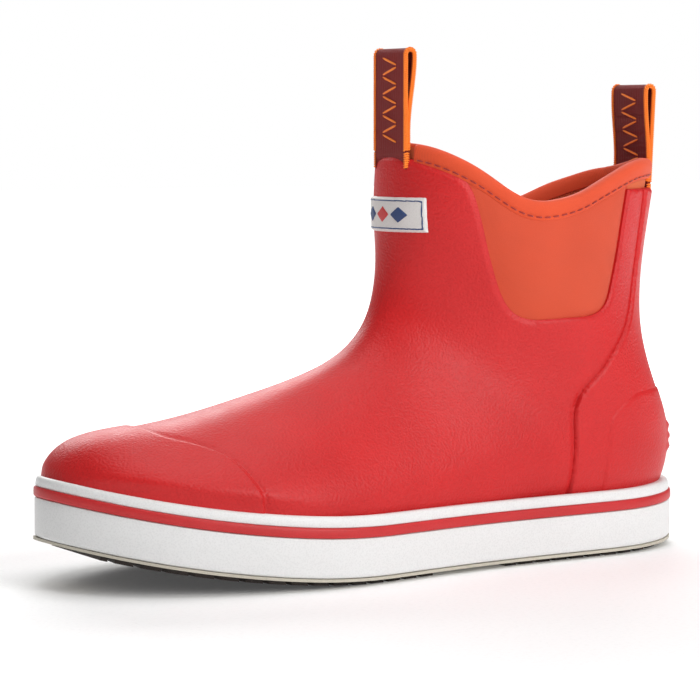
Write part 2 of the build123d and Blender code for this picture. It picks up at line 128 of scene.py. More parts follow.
# Folded binding in section: (distance below the collar line, depth under the outer face)
FOLD = [
    (8.4, 2.0), (8.5, 1.3), (8.2, 0.85), (7.4, 0.75), (6.9, 0.95), (6.5, 0.75), (5.0, 0.45), (3.0, 0.4),
    (1.4, 0.75), (0.45, 1.6), (0.05, 2.8), (0.0, 4.0), (0.15, 5.2), (0.7, 6.3), (1.8, 7.0), (4.0, 7.25),
    (6.5, 7.2), (8.2, 6.9), (8.4, 6.2), (7.0, 5.6), (2.4, 5.4), (1.8, 4.0), (2.4, 2.6), (7.0, 2.3),
]
# Sidewall and its stripe in section: (inset from the outline, height over the base line)
WALL_PROFILE = [
    (14.0, 1.3), (1.4, 1.3), (0.5, 1.5), (0.1, 2.1), (0.0, 3.2), (0.0, 10.0), (0.05, 16.6), (0.3, 17.4),
    (1.2, 17.7), (1.2, 22.0), (0.55, 22.2), (0.35, 22.9), (0.75, 25.0), (1.15, 25.9), (1.9, 26.45),
    (3.0, 26.6), (6.0, 26.2), (11.0, 24.5), (14.0, 18.0),
]
STRIPE_PROFILE = [
    (1.4, 17.8), (0.4, 17.75), (-0.15, 18.0), (-0.35, 18.5), (-0.4, 19.8), (-0.3, 21.2), (-0.05, 21.8),
    (0.5, 22.05), (1.4, 22.0),
]
# Overcast thread round a webbing edge: (across, out of the web, along it)
EDGE_WRAP = [
    (11.5, 0.35, -0.5), (11.9, 0.56, -0.3), (12.5, 0.56, 0.1), (12.85, 0.0, 0.3), (12.5, -0.56, 0.1),
    (11.9, -0.56, -0.3), (11.5, -0.35, -0.5),
]
ROOT_WRAP = [(11.6, 1.2, -0.2), (12.4, 1.1, 0.0), (12.8, 0.0, 0.2), (12.4, -1.1, 0.0)]
THREAD_UP = (0.31, 0.2, 0.93)  # never along a strand, so its section keeps its direction


# ---- Curves and surfaces ----
def spline(knots, values):
    """Natural cubic spline through rows of values."""
    x = np.asarray(knots, float)
    y = np.asarray(values, float)
    if y.ndim == 1:
        y = y[:, None]
    n = len(x)
    h = np.diff(x)
    a = np.zeros((n, n))
    r = np.zeros_like(y)
    a[0, 0] = a[-1, -1] = 1.0
    for i in range(1, n - 1):
        a[i, i - 1] = h[i - 1]
        a[i, i] = 2 * (h[i - 1] + h[i])
        a[i, i + 1] = h[i]
        r[i] = 6 * ((y[i + 1] - y[i]) / h[i] - (y[i] - y[i - 1]) / h[i - 1])
    m = np.linalg.solve(a, r)

    def value(q):
        q = np.atleast_1d(q)
        k = np.clip(np.searchsorted(x, q) - 1, 0, n - 2)
        left = (x[k + 1] - q)[:, None]
        right = (q - x[k])[:, None]
        hk = h[k][:, None]
        return (
            (m[k] * left ** 3 + m[k + 1] * right ** 3) / (6 * hk)
            + (y[k] / hk - m[k] * hk / 6) * left
            + (y[k + 1] / hk - m[k + 1] * hk / 6) * right
        )

    return value


def smooth_line(points, count):
    """Even points on a smooth line through the given ones."""
    p = np.asarray(points, float)
    d = np.r_[0, np.cumsum(np.hypot(*np.diff(p, axis=0).T))]
    return spline(d, p)(np.linspace(0, d[-1], count))


def sole_rise(x):
    """Height of the sidewall's base line over the ground line."""
    x = np.asarray(x, float)
    toe = 17.8 * np.clip((x - 18.0) / 133.0, 0, None) ** 1.9
    heel = 1.1 * np.clip((-105.0 - x) / 46.0, 0, None) ** 2
    return toe + heel


def sole_rim(count):
    """Sidewall outline in plan and its inward directions."""
    ring = np.array(SOLE_OUTLINE[-4:] + SOLE_OUTLINE + SOLE_OUTLINE[:5], float)
    run = np.r_[0, np.cumsum(np.hypot(*np.diff(ring, axis=0).T))]
    rim = spline(run, ring)(np.linspace(run[4], run[4 + len(SOLE_OUTLINE)], count + 1)[:-1])
    tangent = np.roll(rim, -1, axis=0) - np.roll(rim, 1, axis=0)
    tangent /= np.linalg.norm(tangent, axis=1, keepdims=True)
    inward = np.stack([-tangent[:, 1], tangent[:, 0]], axis=1)
    area = np.sum(rim[:, 0] * np.roll(rim[:, 1], -1) - rim[:, 1] * np.roll(rim[:, 0], -1))
    return rim, inward * np.sign(area)


def tuck_into_sole(p):
    """Moves the upper's lower edge inside the sidewall, easing out above it."""
    rim, inward = sole_rim(360)
    height = p[:, :, 2] - TREAD - WALL - sole_rise(p[:, :, 0])
    near = np.nonzero(height < 16)
    least, soft_zone = 3.4, 1.5
    q = p[near][:, :2]
    gap = np.hypot(q[:, None, 0] - rim[None, :, 0], q[:, None, 1] - rim[None, :, 1])
    nearest = np.argmin(gap, axis=1)
    depth = np.sum((q - rim[nearest]) * inward[nearest], axis=1)
    h = height[near]
    short = least - 0.05 * np.clip(h - 1.0, 0, None) ** 1.75 - depth
    eased = (np.clip(short, -soft_zone, soft_zone) + soft_zone) ** 2 / (4 * soft_zone)
    soft = np.where(short > -soft_zone, eased, 0.0) + np.clip(short - soft_zone, 0, None)
    p = p.copy()
    p[near[0], near[1], :2] += inward[nearest] * soft[:, None]
    return p


def upper_grid():
    """Outer face of the upper as a grid from toe to shaft, with its inward normals."""
    st = np.array(STATIONS)
    step = np.hypot(*np.diff(st[:, 0:2], axis=0).T) + np.hypot(*np.diff(st[:, 2:4], axis=0).T)
    d = np.r_[0, np.cumsum(step)]
    d /= d[-1]
    rows = spline(d, st)(np.linspace(0, 1, ALONG))
    turn = np.linspace(0, 2 * np.pi, AROUND, endpoint=False)[None, :]
    fx, fz, bx, bz, half, shift, bias, power = [rows[:, k:k + 1] for k in range(8)]
    c = (1 - np.cos(turn)) / 2
    side = np.sin(turn + bias * np.sin(turn))
    y = shift + half * np.sign(side) * np.abs(side) ** (2 / power)
    p = np.stack([fx + (bx - fx) * c, y, fz + (bz - fz) * c + TREAD], axis=2)
    p = tuck_into_sole(p)
    wrapped = np.concatenate([p[:, -2:], p, p[:, :2]], axis=1)
    du = np.gradient(p, axis=0)
    dv = np.gradient(wrapped, axis=1)[:, 2:-2]
    n = np.cross(du, dv)
    n /= np.linalg.norm(n, axis=2, keepdims=True) + 1e-12
    middle = np.stack([(fx + bx) / 2, shift, (fz + bz) / 2 + TREAD], axis=2)
    n *= np.sign(np.sum(np.sign(np.sum(n * (middle - p), axis=2))))
    return p, n


P, N = upper_grid()


def polygon_distance(x, z, poly):
    """Signed distance to a closed outline, positive inside."""
    poly = np.asarray(poly, float)
    best = np.full(x.shape, 1e9)
    inside = np.zeros(x.shape, bool)
    for (ax, az), (bx, bz) in zip(poly, np.roll(poly, -1, axis=0)):
        ex, ez = bx - ax, bz - az
        t = np.clip(((x - ax) * ex + (z - az) * ez) / (ex * ex + ez * ez + 1e-12), 0, 1)
        best = np.minimum(best, np.hypot(x - ax - t * ex, z - az - t * ez))
        if az != bz:
            crosses = ((az > z) != (bz > z)) & (x < ex * (z - az) / ez + ax)
            inside ^= crosses
    return np.where(inside, best, -best)


def side_region(curve, corners, count=90):
    """Signed distance, seen from the side, to a region with one smooth edge."""
    line = smooth_line(curve, count) + (0, TREAD)
    rest = np.asarray(corners, float) + (0, TREAD)
    return polygon_distance(P[:, :, 0], P[:, :, 2], np.vstack([line, rest]))


def ease(x):
    """Smooth step from 0 to 1."""
    x = np.clip(x, 0, 1)
    return x * x * (3 - 2 * x)


def clip_grid(field, stride=1, base=None):
    """Part of the upper grid where the field is positive, cut cleanly along its zero line."""
    base = P if base is None else base
    p, n, f = [grid[::stride, ::stride] for grid in (base, N, field)]
    rows, cols = f.shape
    index = -np.ones((rows, cols), int)
    keep = f >= 0
    index[keep] = np.arange(keep.sum())
    points = list(p[keep])
    normals = list(n[keep])
    values = list(f[keep])
    cuts = {}

    def cut(a, b):
        key = (a, b) if a < b else (b, a)
        if key not in cuts:
            fa, fb = f[a], f[b]
            t = fa / (fa - fb)
            cuts[key] = len(points)
            points.append(p[a] + (p[b] - p[a]) * t)
            normals.append(n[a] + (n[b] - n[a]) * t)
            values.append(0.0)
        return cuts[key]

    faces = []
    for i in range(rows - 1):
        for j in range(cols):
            k = (j + 1) % cols
            ring = ((i, j), (i + 1, j), (i + 1, k), (i, k))
            flags = [keep[c] for c in ring]
            if all(flags):
                faces.append([index[c] for c in ring])
            elif any(flags):
                face = []
                for a, b in zip(ring, ring[1:] + ring[:1]):
                    if keep[a]:
                        face.append(index[a])
                    if keep[a] != keep[b]:
                        face.append(cut(a, b))
                if len(face) > 2:
                    faces.append(face)
    return np.array(points), np.array(normals), np.array(values), faces


def enclosed_volume(points, faces):
    """Signed volume inside closed faces, positive where they face outwards."""
    fans = [(f[0], f[i], f[i + 1]) for f in faces for i in range(1, len(f) - 1)]
    a, b, c = [(points - points.mean(axis=0))[corner] for corner in np.array(fans).T]
    return np.einsum("ij,ij->", a, np.cross(b, c)) / 6


def make_object(name, points, faces, material, body="boot", slot=None, replaces=(), sharp=40):
    """Mesh object in metres from points in millimetres, its faces turned outwards."""
    points = np.asarray(points, float)
    faces = [[int(i) for i in face] for face in faces]
    if enclosed_volume(points, faces) < 0:
        faces = [face[::-1] for face in faces]
    mesh = bpy.data.meshes.new(name)
    mesh.from_pydata((points * MM).tolist(), [], faces)
    mesh.validate()
    mesh.update()
    mesh.polygons.foreach_set("use_smooth", [True] * len(mesh.polygons))
    mesh.set_sharp_from_angle(angle=math.radians(sharp))
    obj = bpy.data.objects.new(name, mesh)
    bpy.context.scene.collection.objects.link(obj)
    mesh.materials.append(material)
    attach(obj, body)
    if replaces:
        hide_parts(*replaces)
    return obj


def thick(name, patch, outer, inner, material, **kw):
    """Closed skin between two depths under the upper's outer face."""
    points, normals, values, faces = patch
    outer = np.broadcast_to(outer, values.shape)[:, None]
    inner = np.broadcast_to(inner, values.shape)[:, None]
    count = len(points)
    out_points = points + normals * outer
    in_points = points + normals * inner
    rim_edges = {}
    for face in faces:
        for a, b in zip(face, face[1:] + face[:1]):
            if rim_edges.pop((b, a), None) is None:
                rim_edges[(a, b)] = True
    walls = [[a, b, b + count, a + count][::-1] for a, b in rim_edges]
    backs = [[i + count for i in reversed(face)] for face in faces]
    return make_object(name, np.vstack([out_points, in_points]), faces + backs + walls, material, **kw)


def slab_faces(rows, cols):
    """Faces of a closed slab whose points are one rows-by-cols layer and then a second one."""
    layer = rows * cols
    faces = []
    for i in range(rows - 1):
        for c in range(cols - 1):
            a = i * cols + c
            faces.append([a, a + 1, a + cols + 1, a + cols])
            faces.append([layer + a, layer + a + cols, layer + a + cols + 1, layer + a + 1])
        a, b = i * cols, (i + 1) * cols
        faces.append([a, b, layer + b, layer + a])
        a, b = a + cols - 1, b + cols - 1
        faces.append([b, a, layer + a, layer + b])
    last = (rows - 1) * cols
    for c in range(cols - 1):
        faces.append([c + 1, c, layer + c, layer + c + 1])
        faces.append([last + c, last + c + 1, layer + last + c + 1, layer + last + c])
    return faces


# ---- Materials ----
def material(name, colour, dark, rough, grain=0.0008, bump=0.15, patch_size=0.03, kind="pebble",
             sheen=0.0, coat=0.0, metallic=0.0, specular=0.4):
    """Procedural finish: drifting colour, fine relief with painted shade in its hollows, and uneven gloss."""
    mat = bpy.data.materials.new(name)
    mat.use_nodes = True
    nt = mat.node_tree
    shader = nt.nodes["Principled BSDF"]
    shader.inputs["Sheen Weight"].default_value = sheen
    shader.inputs["Sheen Roughness"].default_value = 0.5
    shader.inputs["Coat Weight"].default_value = coat
    shader.inputs["Coat Roughness"].default_value = 0.35
    shader.inputs["Metallic"].default_value = metallic
    shader.inputs["Specular IOR Level"].default_value = specular
    coord = nt.nodes.new("ShaderNodeTexCoord")

    def noise(size, detail=3.0):
        node = nt.nodes.new("ShaderNodeTexNoise")
        node.inputs["Scale"].default_value = 1.0 / size
        node.inputs["Detail"].default_value = detail
        nt.links.new(coord.outputs["Object"], node.inputs["Vector"])
        return node.outputs["Fac"]

    def mix(fac, a, b, low=0.3, high=0.7):
        ramp = nt.nodes.new("ShaderNodeValToRGB")
        ramp.color_ramp.elements[0].position = low
        ramp.color_ramp.elements[1].position = high
        ramp.color_ramp.elements[0].color = (*a, 1)
        ramp.color_ramp.elements[1].color = (*b, 1)
        nt.links.new(fac, ramp.inputs["Fac"])
        return ramp.outputs["Color"]

    if kind == "pebble":
        cell = nt.nodes.new("ShaderNodeTexVoronoi")
        cell.feature = "SMOOTH_F1"
        cell.inputs["Scale"].default_value = 1.0 / grain
        nt.links.new(coord.outputs["Object"], cell.inputs["Vector"])
        relief = cell.outputs["Distance"]
    elif kind == "knit":
        ribs = []
        for axis in ("X", "Z"):
            wave = nt.nodes.new("ShaderNodeTexWave")
            wave.bands_direction = axis
            wave.inputs["Scale"].default_value = 0.314 / grain
            wave.inputs["Distortion"].default_value = 1.6
            wave.inputs["Detail"].default_value = 1.0
            wave.inputs["Detail Scale"].default_value = 2.0
            nt.links.new(coord.outputs["Object"], wave.inputs["Vector"])
            ribs.append(wave.outputs["Fac"])
        add = nt.nodes.new("ShaderNodeMath")
        add.operation = "MULTIPLY"
        nt.links.new(ribs[0], add.inputs[0])
        nt.links.new(ribs[1], add.inputs[1])
        relief = add.outputs[0]
    else:
        relief = noise(grain, 2.0)
    body_colour = mix(noise(patch_size), dark, colour)
    blend = nt.nodes.new("ShaderNodeMix")
    blend.data_type = "RGBA"
    blend.blend_type = "MULTIPLY"
    blend.inputs["Factor"].default_value = 1.0
    # Painted shade: the colour is darkened where the relief is low, in the hollows of the bump
    hollow_shade = 0.8 if kind == "knit" else 0.9
    nt.links.new(body_colour, blend.inputs["A"])
    nt.links.new(mix(relief, (hollow_shade,) * 3, (1, 1, 1), 0.0, 0.5), blend.inputs["B"])
    nt.links.new(blend.outputs["Result"], shader.inputs["Base Color"])
    gloss = nt.nodes.new("ShaderNodeMapRange")
    gloss.inputs["To Min"].default_value = rough - 0.08
    gloss.inputs["To Max"].default_value = rough + 0.08
    nt.links.new(noise(patch_size / 4), gloss.inputs["Value"])
    nt.links.new(gloss.outputs["Result"], shader.inputs["Roughness"])
    bumper = nt.nodes.new("ShaderNodeBump")
    bumper.inputs["Strength"].default_value = bump
    bumper.inputs["Distance"].default_value = grain * 0.5
    nt.links.new(relief, bumper.inputs["Height"])
    nt.links.new(bumper.outputs["Normal"], shader.inputs["Normal"])
    return mat


RED = material("red_rubber", (0.60, 0.014, 0.015), (0.54, 0.011, 0.012),
               0.46, 0.0009, 0.45, coat=0.04, specular=0.32)
GORE = material("gore_knit", (0.72, 0.085, 0.034), (0.66, 0.074, 0.028),
                0.85, 0.00045, 0.4, kind="knit", sheen=0.08)
BINDING = material("binding_knit", (0.80, 0.085, 0.022), (0.74, 0.072, 0.018),
                   0.75, 0.0004, 0.3, kind="knit", sheen=0.08)
LINING = material("lining_mesh", (0.74, 0.13, 0.05), (0.66, 0.11, 0.04),
                  0.9, 0.0010, 0.8, kind="knit", sheen=0.3)
FOAM = material("bootie_foam", (0.70, 0.15, 0.06), (0.64, 0.13, 0.05), 0.9, 0.0006, 0.3)
THREAD = material("thread", (0.36, 0.020, 0.012), (0.28, 0.014, 0.010),
                  0.8, 0.0003, 0.4, kind="noise", sheen=0.3)
WEB = material("webbing", (0.26, 0.009, 0.007), (0.20, 0.006, 0.005),
               0.75, 0.0006, 0.9, kind="knit", sheen=0.05)
ORANGE = material("webbing_orange", (1.0, 0.25, 0.02), (0.92, 0.20, 0.015),
                  0.7, 0.0004, 0.5, kind="noise", sheen=0.05)
BADGE = material("badge_rubber", (0.74, 0.73, 0.71), (0.68, 0.67, 0.65), 0.5, 0.0005, 0.2)
NAVY = material("badge_navy", (0.035, 0.075, 0.20), (0.030, 0.06, 0.17), 0.5, 0.0005, 0.2)
CORAL = material("badge_coral", (0.62, 0.06, 0.06), (0.55, 0.05, 0.05), 0.5, 0.0005, 0.2)
WHITE = material("white_rubber", (0.80, 0.80, 0.795), (0.78, 0.78, 0.775), 0.45, 0.0007, 0.05, coat=0.05)
STRIPE = material("stripe_rubber", (0.58, 0.025, 0.028), (0.52, 0.02, 0.022), 0.45, 0.0007, 0.15)
SHEET = material("sheet_rubber", (0.60, 0.56, 0.46), (0.52, 0.48, 0.40), 0.6, 0.0007, 0.3)
LUG = material("lug_rubber", (0.040, 0.028, 0.024), (0.026, 0.018, 0.016), 0.65, 0.0007, 0.4)
FOOTBED = material("footbed_cover", (0.60, 0.10, 0.05), (0.52, 0.08, 0.04),
                   0.9, 0.0009, 0.8, kind="knit", sheen=0.3)
DARKFOAM = material("footbed_foam", (0.05, 0.05, 0.055), (0.04, 0.04, 0.045), 0.9, 0.0006, 0.4)
BOARD = material("board", (0.40, 0.34, 0.24), (0.34, 0.29, 0.20), 0.8, 0.0008, 0.3, kind="noise")
STEEL = material("steel", (0.55, 0.55, 0.57), (0.48, 0.48, 0.50),
                 0.35, 0.0004, 0.1, kind="noise", metallic=1.0)

CAD_FINISH = {
    "base_sheet": SHEET, "forefoot_tread": LUG, "heel_tread": LUG, "insole_board": BOARD, "shank": STEEL,
    "sole_core": FOAM, "heel_filler": DARKFOAM, "footbed_foam": DARKFOAM,
}
for node, finish in CAD_FINISH.items():
    node_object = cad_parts[node]
    if not node_object.material_slots:
        node_object.data.materials.append(finish)
    for material_slot in node_object.material_slots:
        material_slot.material = finish

# ---- Upper panels ----
X, Y, Z = P[:, :, 0], P[:, :, 1], P[:, :, 2]
outer_line = smooth_line(BINDING_TOP, 160)[::-1] + (0, TREAD)
inner_line = smooth_line(INNER_SIDE_TOP, 160)[::-1] + (0, TREAD)
outer_share = ease((Y + 16) / 32)
over_top = Z - (
    outer_share * np.interp(X, outer_line[:, 0], outer_line[:, 1])
    + (1 - outer_share) * np.interp(X, inner_line[:, 0], inner_line[:, 1])
)
row_steps = np.linalg.norm(np.diff(P, axis=0), axis=2)
arc = np.concatenate([np.zeros((1, AROUND)), np.cumsum(row_steps, axis=0)])
low_collar = np.where((Y < 10) & (X < -60), -over_top - 8.7, 400.0)
above_trim = Z - (TREAD + LOW_TRIM + sole_rise(X))
shell_field = side_region(
    COLLAR_DIP + GORE_EDGE[1:],
    [(-170, 157.5), (-170, 0), (170, 0), (170, 172.3)],
)
shell_field = np.minimum(np.minimum(shell_field, above_trim), low_collar)
toe_field = side_region(TOE_CAP_EDGE, [(170, 15), (170, 72)])
counter_field = np.minimum(side_region(COUNTER_EDGE, [(-175, 15), (-175, 157.5)]), low_collar)
patch_field = side_region(PATCH_EDGE, [(-175, 15), (-175, 69)])
# A shallow groove runs along the edge of the counter and of the toe cap
groove = 0.75 * np.exp(-((counter_field + 0.7) / 0.75) ** 2) + 0.4 * np.exp(-((toe_field + 0.8) / 0.8) ** 2)
patch = clip_grid(shell_field, base=P + N * groove[:, :, None])
soft_edge = np.where(patch[0][:, 0] > -62, 2.4, 0.9)
near_sole = patch[0][:, 2] < TREAD + LOW_TRIM + sole_rise(patch[0][:, 0]) + 6
edge_sink = np.where(near_sole, 0.0, 0.95 * (1 - ease(patch[2] / soft_edge)))
thick("shell_skin", patch, edge_sink, 2.1, RED, slot="shell_rubber", replaces=("rubber_shell",))


def overlay(name, field, lift, base, width, **kw):
    """Moulded overlay whose edge rolls down into the panel under it."""
    patch = clip_grid(np.minimum(field + 0.15, above_trim + 2))
    rise = ease(patch[2] / width)
    bottom = patch[0][:, 2] < TREAD + LOW_TRIM + sole_rise(patch[0][:, 0]) + 5
    rise = np.where(bottom, 1.0, rise)
    depth = base + 0.15 - (lift + 0.15) * rise
    if "bump" in kw:
        depth = depth - kw.pop("bump")(patch[0])
    return thick(name, patch, depth, base + 0.5, RED, slot="shell_rubber", **kw)


overlay("toe_cap_skin", toe_field, 1.1, 0.0, 1.1, replaces=("toe_cap",))
overlay("counter_skin", counter_field, 1.2, 0.0, 0.8, replaces=("heel_counter",))


def kick_lug(p):
    """Ribs across the back of the heel for stepping the boot off."""
    back = ease((-p[:, 0] - 132) / 8) * ease((24 - np.abs(p[:, 1])) / 4)
    ribs = sum(np.exp(-((p[:, 2] - TREAD - z) / 1.5) ** 2) for z in (42.0, 46.5, 51.0))
    return 1.1 * back * ribs


overlay("heel_patch_skin", patch_field, 0.55, -1.2, 1.6, replaces=("heel_patch",), bump=kick_lug)


# ---- Collar, gores, bootie and lining ----
# Length along each grid column at which it crosses the binding's top line
collar_arc = np.zeros(AROUND)
for j in range(AROUND):
    i = np.nonzero((over_top[:-1, j] < 0) & (over_top[1:, j] >= 0))[0][-1]
    t = over_top[i, j] / (over_top[i, j] - over_top[i + 1, j])
    collar_arc[j] = arc[i, j] + t * (arc[i + 1, j] - arc[i, j])


def collar_point(j, drop, depth):
    """Point a distance down from the collar line at one column, at one depth."""
    at = collar_arc[j] - drop
    p = np.array([np.interp(at, arc[:, j], P[:, j, k]) for k in range(3)])
    n = np.array([np.interp(at, arc[:, j], N[:, j, k]) for k in range(3)])
    return p + n * depth / np.linalg.norm(n)


below_collar = -over_top
window = side_region(GORE_EDGE, [(-109.7, 190), (-27.8, 190)])
for side, name, node in (
    (1, "gore_outer_skin", "gore_outer_side"),
    (-1, "gore_inner_skin", "gore_inner_side"),
):
    field = np.minimum(np.minimum(window + 1.2, below_collar - 4.5), side * Y)
    patch = clip_grid(field)
    rear_share = ease((-patch[0][:, 0] - 70) / 20)
    swell = 0.5 * ease(patch[2] / 9) - 0.7 * rear_share * (1 - ease((patch[2] - 1.5) / 2.0))
    thick(name, patch, KNIT_START - swell, 2.2, GORE, slot="gore_knit", replaces=(node,))
patch = clip_grid(below_collar - 1.6, 2)
thick("bootie_skin", patch, *BOOTIE_FACES, FOAM, slot="bootie_foam", replaces=("foam_bootie",))
thick("lining_skin", patch, *LINING_FACES, LINING, slot="lining_mesh", replaces=("mesh_lining",))

# ---- Folded binding ----
pull_gap = WEB_HALF + 0.8
ring_points = []
for j in range(AROUND):
    anchor = collar_point(j, 0.0, 0.0)
    tucked = abs(anchor[1]) < pull_gap + 1.5 and (anchor[0] > -40 or anchor[0] < -110)
    inset = 2.5 * ease((pull_gap + 1.5 - abs(anchor[1])) / 1.5) if tucked else 0.0
    for drop, depth in FOLD:
        lean = inset * max(0.0, 1 - max(depth, 0) / 7.0)
        ring_points.append(collar_point(j, drop, depth + lean))
fold_count = len(FOLD)
ring_faces = []
for j in range(AROUND):
    k = (j + 1) % AROUND
    for i in range(fold_count):
        m = (i + 1) % fold_count
        ring_faces.append([j * fold_count + i, k * fold_count + i, k * fold_count + m, j * fold_count + m])
make_object("binding_fold", ring_points, ring_faces, BINDING, slot="binding_knit",
            replaces=("collar_binding",), sharp=60)


# ---- Thread and other rounded strands ----
def strand(points, radius, sides=8, up=(0.0, 0.0, 1.0)):
    """Capped tube with rounded ends through a few points."""
    pts = np.asarray(points, float)
    count = len(pts)
    tang = np.gradient(pts, axis=0)
    tang /= np.linalg.norm(tang, axis=1, keepdims=True) + 1e-12
    verts, faces = [], []
    for i in range(count):
        a = np.cross(tang[i], up)
        if np.linalg.norm(a) < 1e-6:
            a = np.cross(tang[i], [1.0, 0, 0])
        a /= np.linalg.norm(a)
        b = np.cross(a, tang[i])
        end = min(i, count - 1 - i)
        r = radius * (0.55 if end == 0 else 1.0)
        for s in range(sides):
            w = 2 * math.pi * s / sides
            verts.append(pts[i] + r * (math.cos(w) * a + math.sin(w) * b))
    for i in range(count - 1):
        for s in range(sides):
            t = (s + 1) % sides
            faces.append([i * sides + s, i * sides + t, (i + 1) * sides + t, (i + 1) * sides + s])
    faces.append(list(range(sides))[::-1])
    faces.append([(count - 1) * sides + s for s in range(sides)])
    return verts, faces


def join_strands(pieces):
    """Points and faces of several strands as one mesh."""
    verts, faces = [], []
    for v, f in pieces:
        base = len(verts)
        verts.extend(v)
        faces.extend([[i + base for i in face] for face in f])
    return verts, faces


def stitch_row(path, length, gap, radius, dip=0.35):
    """Row of separate stitches along a path of points and outward directions."""
    pts = np.array([p for p, _ in path])
    out = np.array([o for _, o in path])
    d = np.r_[0, np.cumsum(np.linalg.norm(np.diff(pts, axis=0), axis=1))]
    pieces = []
    at = gap / 2
    while at + length < d[-1]:
        q = at + length * np.array([0.0, 0.15, 0.5, 0.85, 1.0])
        p = np.stack([np.interp(q, d, pts[:, k]) for k in range(3)], axis=1)
        o = np.stack([np.interp(q, d, out[:, k]) for k in range(3)], axis=1)
        p = p + o * np.array([-dip, 0.0, 0.08, 0.0, -dip])[:, None]
        pieces.append(strand(p, radius))
        at += length + gap
    return pieces


collar_path = []
for j in list(range(AROUND)) + [0]:
    outside = collar_point(j, BINDING_STITCH_DROP, 0.62)
    inside = collar_point(j, BINDING_STITCH_DROP, 2.0)
    if abs(outside[1]) < 15 and (outside[0] > -40 or outside[0] < -110):
        continue
    collar_path.append((outside, (outside - inside) / np.linalg.norm(outside - inside)))
rows = []
for half_path in ([c for c in collar_path if c[0][1] > 0], [c for c in collar_path if c[0][1] <= 0]):
    rows += stitch_row(half_path, STITCH_LENGTH, STITCH_GAP, STITCH_RADIUS)
verts, faces = join_strands(rows)
make_object("collar_stitches", verts, faces, THREAD, slot="thread", replaces=("collar_stitching",))


# ---- Webbing pulls ----
def loop_path():
    """Centre line of the loop in its side plane, from the outer foot round to the inner foot."""
    crown = LOOP_HEIGHT - LOOP_SPREAD / 2
    radius = (LOOP_SPREAD - WEB_THICK) / 2
    mid = WEB_THICK / 2 - radius
    rise = np.linspace(0.0, crown, 60)
    left = [(WEB_THICK / 2, v) for v in rise]
    turns = np.linspace(0.15, math.pi - 0.15, 14)
    arch = [(mid + radius * math.cos(a), crown + radius * math.sin(a)) for a in turns]
    spread = (LOOP_SPREAD - 2 * WEB_THICK) * ease((rise[::-1] - 9) / (crown - 9))
    right = list(zip(-WEB_THICK / 2 - spread, rise[::-1]))
    return np.array(left + arch + right)


def pull(name, node, body, at, outward, lean):
    """Woven loop, its overcast edges and its woven bars."""
    path = loop_path()
    d = np.r_[0, np.cumsum(np.hypot(*np.diff(path, axis=0).T))]
    q = np.linspace(0, d[-1], 190)
    path = np.stack([np.interp(q, d, path[:, k]) for k in range(2)], axis=1)
    tang = np.gradient(path, axis=0)
    tang /= np.linalg.norm(tang, axis=1, keepdims=True)
    norm = np.stack([tang[:, 1], -tang[:, 0]], axis=1)
    ca, sa = math.cos(lean), math.sin(lean)

    def place(u, w, v):
        return np.array([at[0] + outward * (u * ca + v * sa), w, at[1] + TREAD + v * ca - u * sa])

    def on_web(s, w, out, along=0.0):
        """Point at a length along the loop, across it and out of its face."""
        u, v = [np.interp(s, q, path[:, k]) + np.interp(s, q, norm[:, k]) * out
                + np.interp(s, q, tang[:, k]) * along for k in (0, 1)]
        return place(u, w, v)

    across = np.linspace(-WEB_BODY_HALF, WEB_BODY_HALF, 57)
    verts = []
    for face_side in (1, -1):
        for i in range(len(path)):
            for c, w in enumerate(across):
                weave = 0.06 * math.sin(2 * math.pi * (q[i] / 1.1 + c / 2.0))
                rib = 0.05 * math.cos(2 * math.pi * w / RIB_PITCH)
                edge = 0.25 * max(0.0, abs(w) - 11.6)
                h = face_side * (0.48 + weave + rib - edge)
                verts.append(place(path[i, 0] + norm[i, 0] * h, w, path[i, 1] + norm[i, 1] * h))
    make_object(name + "_web", verts, slab_faces(len(path), len(across)), WEB, body=body, slot="webbing",
                replaces=(node,), sharp=50)
    overcast = []
    for side in (-1, 1):
        for s in np.arange(1.2, d[-1] - 1.2, OVERCAST_PITCH):
            wrap = [on_web(s, side * w, out, along) for w, out, along in EDGE_WRAP]
            overcast.append(strand(wrap, 0.5, 6, up=THREAD_UP))
    verts, faces = join_strands(overcast)
    make_object(name + "_edges", verts, faces, ORANGE, body=body, slot="webbing")
    bars = []
    for k in range(9):
        slant = 1.5 if k % 2 else -1.5
        for from_end in (False, True):
            line = []
            for t in np.linspace(-1, 1, 7):
                s = 6.0 + 4.1 * k + slant * t
                line.append(on_web(d[-1] - s if from_end else s, 5.2 * t, 0.58))
            bars.append(strand(line, 0.5, 6))
    verts, faces = join_strands(bars)
    make_object(name + "_bars", verts, faces, ORANGE, body=body, slot="webbing")


def pull_root(name, node, at, outward):
    """Fixed foot of a pull, running down between shell and bootie."""
    across = np.linspace(-WEB_BODY_HALF, WEB_BODY_HALF, 43)
    down = np.linspace(0.1, -ROOT_DEPTH, 26)
    verts = []
    for face_side in (1, -1):
        for v in down:
            for w in across:
                rib = 0.05 * math.cos(2 * math.pi * w / RIB_PITCH)
                u = face_side * (1.1 + rib) - 0.55 * ease(-v / 6)
                verts.append((at[0] + outward * u, w, at[1] + TREAD + v))
    faces = slab_faces(len(down), len(across))
    make_object(name, verts, faces, WEB, slot="webbing", replaces=(node,), sharp=50)
    overcast = []
    for side in (-1, 1):
        for v in np.arange(-0.4, -ROOT_DEPTH, -OVERCAST_PITCH):
            level = at[1] + TREAD + v
            wrap = [(at[0] + outward * out, side * w, level + along) for w, out, along in ROOT_WRAP]
            overcast.append(strand(wrap, 0.45, 6, up=THREAD_UP))
    verts, faces = join_strands(overcast)
    make_object(name + "_edges", verts, faces, ORANGE, slot="webbing")


